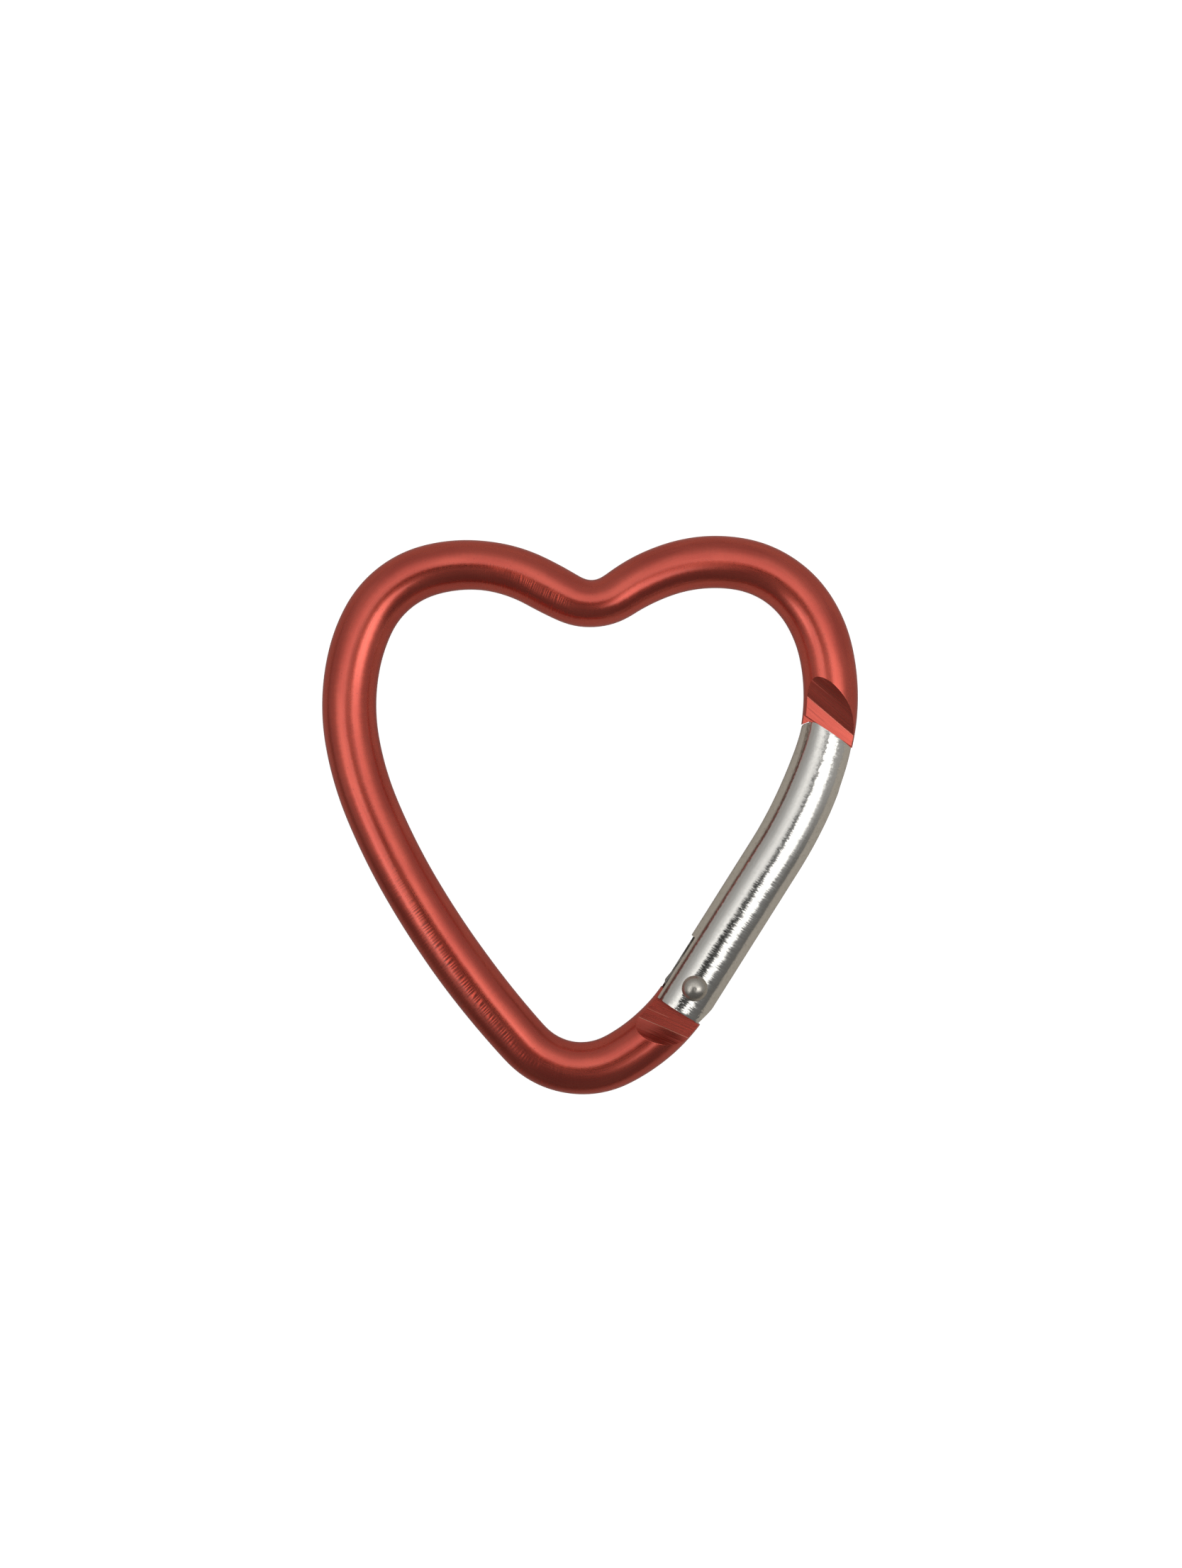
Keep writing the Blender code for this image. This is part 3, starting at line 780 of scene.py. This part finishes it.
def make_body(red, nose_cut, heel_cut):
    fine = ROD_FINE_ENDS
    stations = np.concatenate([
        np.arange(0.0, fine, ROD_END_STEP),
        np.arange(fine, ROD.length - fine, ROD_STEP),
        np.arange(ROD.length - fine, ROD.length, ROD_END_STEP),
        [ROD.length],
    ])
    points = sweep(ROD, stations, rod_half_width(stations), ROD_HEIGHT / 2, ROD_SIDES)
    body = mesh_object("hook_body", points, tube_faces(len(stations), ROD_SIDES), red)
    eye = cylinder("heel_eye", EYE_RADIUS, -EYE_HALF_HEIGHT, EYE_HALF_HEIGHT, heel_cut)
    carve(body, "UNION", [eye])
    heel_trim = rectangle(HEEL_TRIM_FROM, EYE_RADIUS + 1, -CLEAR, -TENON_HALF_WIDTH)
    spring_notch = rectangle(SPRING_NOTCH_FROM, EYE_RADIUS + 1, TENON_HALF_WIDTH, CLEAR)
    slant = GATE_RADIUS + 1.0 - TENON_HALF_WIDTH
    nose_trim = [
        (-CLEAR, TENON_HALF_WIDTH),
        (NOSE_TRIM_TO, TENON_HALF_WIDTH),
        (NOSE_TRIM_TO - slant * NOSE_TRIM_SLANT, TENON_HALF_WIDTH + slant),
        (-CLEAR, TENON_HALF_WIDTH + slant),
    ]
    nose_side = [
        (-CLEAR, -CLEAR),
        (NOSE_OUTER_TRIM_TO, -CLEAR),
        (NOSE_OUTER_TRIM_TO, -NOSE_OUTER_HALF_WIDTH),
        (NOSE_TENON_END, -TENON_HALF_WIDTH),
        (-CLEAR, -TENON_HALF_WIDTH),
    ]
    tools = mills("nose_mill", NOSE_SHOULDER, NOSE_SHOULDER_ANGLE, NOSE_SCOOP, nose_cut)
    tools += mills("heel_mill", HEEL_SHOULDER, HEEL_SHOULDER_ANGLE, HEEL_SCOOP, heel_cut)
    tools += [
        beside_gate("heel_outer_trim", 0.0, heel_trim, CLEAR, heel_cut),
        beside_gate("heel_spring_notch", 0.0, spring_notch, CLEAR, heel_cut),
        beside_gate("nose_inner_trim", NOSE_STATION, nose_trim, CLEAR, nose_cut),
        beside_gate("nose_outer_trim", NOSE_STATION, nose_side, CLEAR, nose_cut),
        cylinder("rivet_bore", RIVET_HOLE_RADIUS, -CLEAR, CLEAR, heel_cut),
    ]
    tools += blade_cutters(nose_cut)
    carve(body, "DIFFERENCE", tools)
    soften_edges(body, ROD_EDGE)
    store_straight(body, ROD)
    return body


def make_gate(metal):
    stations = np.arange(GATE_HEEL, GATE.length + 1.0, GATE_STEP)
    half_width = gate_half_width(stations)
    outer = sweep(GATE, stations, half_width, GATE_RADIUS, GATE_SIDES)
    inner = sweep(GATE, stations, half_width - GATE_WALL, GATE_RADIUS - GATE_WALL, GATE_SIDES)
    rings = len(stations)
    faces = tube_faces(rings, GATE_SIDES, 0, False)
    faces += [tuple(reversed(f)) for f in tube_faces(rings, GATE_SIDES, rings * GATE_SIDES, False)]
    for end in (0, rings - 1):
        a = end * GATE_SIDES
        b = a + rings * GATE_SIDES
        for i in range(GATE_SIDES):
            j = (i + 1) % GATE_SIDES
            faces.append((a + i, a + j, b + j, b + i))
    gate = mesh_object("gate_tube", np.concatenate([outer, inner]), faces, metal)

    edge, noseward = nose_end_axes()
    turns = [math.pi / 32 * i for i in range(17)]
    beyond = [
        (NOSE_CORNER + NOSE_CORNER_RADIUS * (1 - math.sin(turn)),
         NOSE_CORNER_RADIUS * (math.cos(turn) - 1))
        for turn in turns
    ]
    beyond += [(-CLEAR, -NOSE_CORNER_RADIUS), (-CLEAR, CLEAR), (CLEAR, CLEAR), (CLEAR, 0.0)]
    place = (*GATE_TOP, MIDDLE)
    nose_cut = prism("nose_end_cut", beyond, place, edge, noseward, -CLEAR, CLEAR, metal)

    beyond_heel = GATE_HEEL - OVERSHOOT
    slot = rectangle(beyond_heel, PIVOT_SLOT_TO, PIVOT_SLOT_DEPTH_FROM, CLEAR)
    pivot_slot = beside_gate("pivot_slot", 0.0, slot, PIVOT_SLOT_WIDTH / 2, metal)

    radius = NOSE_SLOT_WIDTH / 2
    turns = [math.pi / 2 + math.pi * i / 32 for i in range(33)]
    keyway = [(radius + radius * math.cos(turn), radius * math.sin(turn)) for turn in turns]
    keyway += [(CLEAR + radius, -radius), (CLEAR + radius, radius)]
    point, along, _ = GATE.frame(NOSE_SLOT_FROM)
    place = (*point, MIDDLE)
    nose_slot = prism(
        "nose_slot", keyway, place, (*along, 0), (0, 0, 1), NOSE_SLOT_DEPTH_FROM, CLEAR, metal
    )

    full_cut = HEEL_CORNER_CUT * (HEEL_CORNER_FROM - beyond_heel) / (HEEL_CORNER_FROM - GATE_HEEL)
    wedge = [
        (HEEL_CORNER_FROM, -GATE_RADIUS - 0.05),
        (beyond_heel, -GATE_RADIUS + full_cut),
        (beyond_heel, -CLEAR),
        (HEEL_CORNER_FROM, -CLEAR),
    ]
    heel_corner = beside_gate("heel_corner_cut", 0.0, wedge, CLEAR, metal)
    holes = cylinder("rivet_holes", RIVET_HOLE_RADIUS, -CLEAR, CLEAR, metal)
    carve(gate, "DIFFERENCE", [nose_cut, pivot_slot, nose_slot, heel_corner, holes])
    soften_edges(gate, GATE_EDGE)
    store_straight(gate, GATE)
    return gate


def dome(radius, height, steps):
    """Points of a spherical cap as (radius, rise), from its rim to its top."""
    sphere = (radius**2 + height**2) / (2 * height)
    rim = math.asin(radius / sphere)
    turns = [rim * (1 - i / steps) for i in range(steps + 1)]
    return [
        (sphere * math.sin(turn), height - sphere * (1 - math.cos(turn))) for turn in turns
    ]


def lathe(name, profile, sides, material):
    """A body turned about the rivet's axis, from a closed run of (radius, height) points."""
    point, along, left = GATE.frame(0.0)
    turn = 2 * math.pi * np.arange(sides) / sides
    around = along * np.cos(turn)[:, None] + left * np.sin(turn)[:, None]
    points = []
    for r, z in profile[1:-1]:
        ring = point + r * around
        points += [(x, y, MIDDLE + z) for x, y in ring]
    rings = len(profile) - 2
    faces = tube_faces(rings, sides, 0, False)
    bottom, top = len(points), len(points) + 1
    points += [(*point, MIDDLE + profile[0][1]), (*point, MIDDLE + profile[-1][1])]
    last = (rings - 1) * sides
    for i in range(sides):
        j = (i + 1) % sides
        faces.append((j, i, bottom))
        faces.append((last + i, last + j, top))
    return mesh_object(name, points, faces, material)


def make_rivet(material):
    """Shank, low head below, and above the gate a high domed head with a small centre mark."""
    seat = GATE_RADIUS + HEAD_SEAT
    lower = [(r, -seat - rise) for r, rise in dome(HEAD_RADIUS, LOWER_HEAD_HEIGHT, 16)]
    upper = []
    for r, rise in dome(HEAD_RADIUS, UPPER_HEAD_HEIGHT, 40):
        dip = MARK_DEPTH * max(0.0, 1 - (r / MARK_RADIUS) ** 2) ** 2
        upper.append((r, seat + rise - dip))
    low_rim = [(HEAD_RADIUS - HEAD_RIM, -seat), (HEAD_RADIUS, -seat - HEAD_RIM * 0.6)]
    high_rim = [(HEAD_RADIUS - HEAD_RIM, seat), (HEAD_RADIUS, seat + HEAD_RIM * 0.6)]
    lower[0] = low_rim[1]
    upper[0] = high_rim[1]
    profile = lower[::-1] + low_rim[:1]
    profile += [(SHANK_RADIUS, -seat), (SHANK_RADIUS, seat)] + high_rim[:1] + upper
    rivet = lathe("gate_rivet_turned", profile, RIVET_SIDES, material)
    rivet.data.set_sharp_from_angle(angle=math.radians(TURNED_EDGE_ANGLE))
    return rivet


def spring_line():
    """The spring's middle line: straight along the gate, a gentle S outwards, then a curl."""
    (u0, v0), (u1, v1) = SPRING_KNEE, SPRING_TIP
    points = [(u, SPRING_ROOT[1]) for u in np.linspace(SPRING_ROOT[0], u0, 19)[:-1]]
    steps = 24
    for i in range(steps + 1):
        t = i / steps
        ease = t**3 * (t * (6 * t - 15) + 10)
        rise = (ease + t * t) / 2
        points.append((u0 + (u1 - u0) * t, v0 + (v1 - v0) * rise))
    heading = math.atan2(points[-1][1] - points[-2][1], points[-1][0] - points[-2][0])
    curl_steps = 14
    step = math.radians(SPRING_CURL_ANGLE) / curl_steps
    for _ in range(curl_steps):
        heading += step
        u, v = points[-1]
        points.append((u + SPRING_CURL_RADIUS * step * math.cos(heading),
                       v + SPRING_CURL_RADIUS * step * math.sin(heading)))
    return np.array(points)


def make_spring(material):
    line = spring_line()
    run = np.gradient(line, axis=0)
    run /= np.hypot(run[:, 0], run[:, 1])[:, None]
    side = np.stack([-run[:, 1], run[:, 0]], axis=1)
    half = SPRING_WIDTH / 2 - SPRING_EDGE
    thick = SPRING_THICKNESS / 2 - SPRING_EDGE
    section = []
    for cx, cy, start in ((1, 1, 0), (-1, 1, 90), (-1, -1, 180), (1, -1, 270)):
        for k in range(4):
            turn = math.radians(start + 30 * k)
            section.append((cx * thick + SPRING_EDGE * math.cos(turn),
                            cy * half + SPRING_EDGE * math.sin(turn)))
    point, along, left = GATE.frame(0.0)
    points = []
    for (u, v), across in zip(line, side):
        for offset, z in section:
            a, b = u + across[0] * offset, v + across[1] * offset
            points.append((*(point + along * a + left * b), MIDDLE + z))
    spring = mesh_object(
        "gate_spring_leaf", points, tube_faces(len(line), len(section)), material
    )
    spring.data.set_sharp_from_angle(angle=math.radians(TURNED_EDGE_ANGLE))
    return spring


nose_cut = milled("red_milled_nose", NOSE_SHOULDER, NOSE_SHOULDER_ANGLE, NOSE_MARKS_AND_HIGHLIGHT)
heel_cut = milled("red_milled_heel", HEEL_SHOULDER, HEEL_SHOULDER_ANGLE, HEEL_MARKS_AND_HIGHLIGHT)
body = make_body(anodised(), nose_cut, heel_cut)
gate = make_gate(nickel())
rivet = make_rivet(steel("rivet_steel", RIVET_STEEL, 0.26, 0.32))
spring = make_spring(steel("spring_steel", SPRING_STEEL, 0.28, 0.42))

for piece, node, slot_name, rides in (
    (body, "body", "red_anodised_aluminium", "hook"),
    (gate, "gate", "nickel_plated_steel", "gate"),
    (rivet, "gate_rivet", "rivet_steel", "gate"),
):
    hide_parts(node)
    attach(piece, rides)

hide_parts("gate_spring")
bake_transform(spring)


# ------------------------------------------------------------------------------- floor and room
FLOOR_REACH = 4000.0
FLOOR_GLOW = 0.88
TABLE = (0.62, 0.575, 0.51)
TABLE_SHADED = (0.24, 0.22, 0.20)
TABLE_HEIGHT = -0.1
SHADE_FROM, SHADE_TO = -38.0, -85.0  # of x + y, over the table

CEILING_HEIGHT = 308.0
CEILING_REACH = 650.0
# Whoever holds the camera leaves a dark wedge on the ceiling, which widens from its tip. Its
# angles are in radians.
WEDGE_TIP = (-40.0, 30.0)
WEDGE_HEADING = -1.39
WEDGE_HALF_ANGLE = 0.80
WEDGE_FADE = 0.15
WEDGE_LIGHT = 0.15
# Patches of the ceiling: where each one starts and ends along X and then along Y, each with the
# length it fades over, and how much light it adds. The camera's body takes light away instead.
LEFT_WINDOW = (-450.0, 120.0, -85.0, 30.0), (-270.0, 110.0, 110.0, 90.0), 0.42
LEFT_STRIP = (-410.0, 90.0, -190.0, 60.0), (-310.0, 100.0, -40.0, 80.0), 0.9
RIGHT_WINDOW = (50.0, 35.0, 485.0, 270.0), (-200.0, 42.0, 60.0, 70.0), 1.5
CAMERA_BODY = (-105.0, 15.0, 62.0, 14.0), (-70.0, 15.0, 36.0, 12.0), -0.92

ROOM_TINT = (1.0, 0.985, 0.96)
WALL_DARK, WALL_BRIGHT = 0.14, 0.38
WALL_DARK_TO, WALL_BRIGHT_FROM = -0.55, -0.25  # of the Y of the direction one looks in


def sheet(name, reach, height, material, corners=(0, 1, 2, 3)):
    """A level square, a part of the stage and not of the object."""
    mesh = bpy.data.meshes.new(name)
    side = reach * MM
    points = [(-side, -side, 0.0), (side, -side, 0.0), (side, side, 0.0), (-side, side, 0.0)]
    mesh.from_pydata(points, [], [corners])
    mesh.materials.append(material)
    obj = bpy.data.objects.new(name, mesh)
    obj.location.z = height * MM
    SCENE.collection.objects.link(obj)
    return obj


def matt(name, glow):
    """A rough, unpolished surface that may glow white."""
    n = new_material(name)
    n.shader.inputs["Roughness"].default_value = 1.0
    n.shader.inputs["Specular IOR Level"].default_value = 0.0
    n.shader.inputs["Emission Color"].default_value = (1.0, 1.0, 1.0, 1.0)
    n.shader.inputs["Emission Strength"].default_value = glow
    return n


def make_floors():
    """A white floor that only the camera sees, and a table that only lights the object."""
    n = matt("floor_white", FLOOR_GLOW)
    n.shader.inputs["Base Color"].default_value = (0.5, 0.5, 0.5, 1.0)
    white_floor = sheet("floor_white", FLOOR_REACH, 0.0, n.owner)
    for ray in ("diffuse", "glossy", "transmission", "volume_scatter", "shadow"):
        setattr(white_floor, f"visible_{ray}", False)

    # The table is darker towards the lower left: a painted shadow of the photographer standing over
    # it.
    n = matt("floor_table", 0.0)
    x, y, _ = n.split(n.object_space())
    lit = n.ramp(n.total(x, y), SHADE_TO, SHADE_FROM)
    n.link(n.mix(lit, TABLE_SHADED, TABLE), n.shader.inputs["Base Color"])
    table_top = sheet("floor_table", FLOOR_REACH, TABLE_HEIGHT, n.owner)
    table_top.visible_camera = False


def make_ceiling():
    """A glowing ceiling: bright on both sides, and dark where the camera and its holder are."""
    n = new_material("ceiling")
    n.tree.nodes.remove(n.shader)
    x, y, _ = n.split(n.object_space())

    def patch(along_x, along_y, strength):
        return n.product(n.window(x, *along_x), n.window(y, *along_y), strength)

    away = n.math("SQRT", n.total(n.product(x, x), n.product(y, y)))
    light = n.total(n.ramp(away, 60.0, 500.0, 1.0, 0.45), patch(*LEFT_WINDOW))
    tip_x, tip_y = WEDGE_TIP
    turn = n.math("ARCTAN2", n.math("SUBTRACT", y, tip_y), n.math("SUBTRACT", x, tip_x))
    off = n.math("ABSOLUTE", n.math("SUBTRACT", turn, WEDGE_HEADING))
    wedge = n.ramp(off, WEDGE_HALF_ANGLE, WEDGE_HALF_ANGLE + WEDGE_FADE, 1.0, 0.0)
    light = n.total(light, n.product(wedge, n.math("SUBTRACT", WEDGE_LIGHT, light)))
    light = n.total(light, patch(*LEFT_STRIP), patch(*RIGHT_WINDOW))
    light = n.product(light, n.total(patch(*CAMERA_BODY), 1.0))
    emission = n.add("ShaderNodeEmission")
    n.link(light, emission.inputs["Strength"])
    output = next(node for node in n.tree.nodes if node.type == "OUTPUT_MATERIAL")
    n.link(emission.outputs[0], output.inputs["Surface"])
    ceiling = sheet("ceiling", CEILING_REACH, CEILING_HEIGHT, n.owner, (0, 3, 2, 1))
    ceiling.visible_camera = False


def make_room():
    """Walls that are darker towards the heart's point, and white where the camera sees them."""
    n = Nodes(bpy.data.worlds.new("room"))
    SCENE.world = n.owner
    _, y, _ = n.split(n.add("ShaderNodeTexCoord").outputs["Generated"])
    direct = n.add("ShaderNodeLightPath").outputs["Is Camera Ray"]
    light = n.ramp(y, WALL_DARK_TO, WALL_BRIGHT_FROM, WALL_DARK, WALL_BRIGHT)
    light = n.total(light, n.product(direct, n.math("SUBTRACT", 1.0, light)))
    background = n.tree.nodes["Background"]
    n.link(light, background.inputs["Strength"])
    n.link(n.mix(direct, ROOM_TINT, (1.0, 1.0, 1.0)), background.inputs["Color"])


make_floors()
make_ceiling()
make_room()

# -------------------------------------------------------------------------------------- camera
VIEW_HEIGHT = 224.1  # what the frame takes in, lengthways, at the mid-plane
CAMERA_OVER = (0.10, 4.41)
CAMERA_ABOVE = 295.0
camera_data = bpy.data.cameras.new("camera")
camera_data.type = "PERSP"
camera_data.sensor_width = 36.0
camera_data.lens = camera_data.sensor_width * CAMERA_ABOVE / VIEW_HEIGHT
camera_data.clip_start = 0.01
camera_data.clip_end = 20.0
camera = bpy.data.objects.new("camera", camera_data)
camera.location = (CAMERA_OVER[0] * MM, CAMERA_OVER[1] * MM, (MIDDLE + CAMERA_ABOVE) * MM)
SCENE.collection.objects.link(camera)
SCENE.camera = camera
SCENE.view_settings.view_transform = "Standard"

bpy.context.view_layer.update()
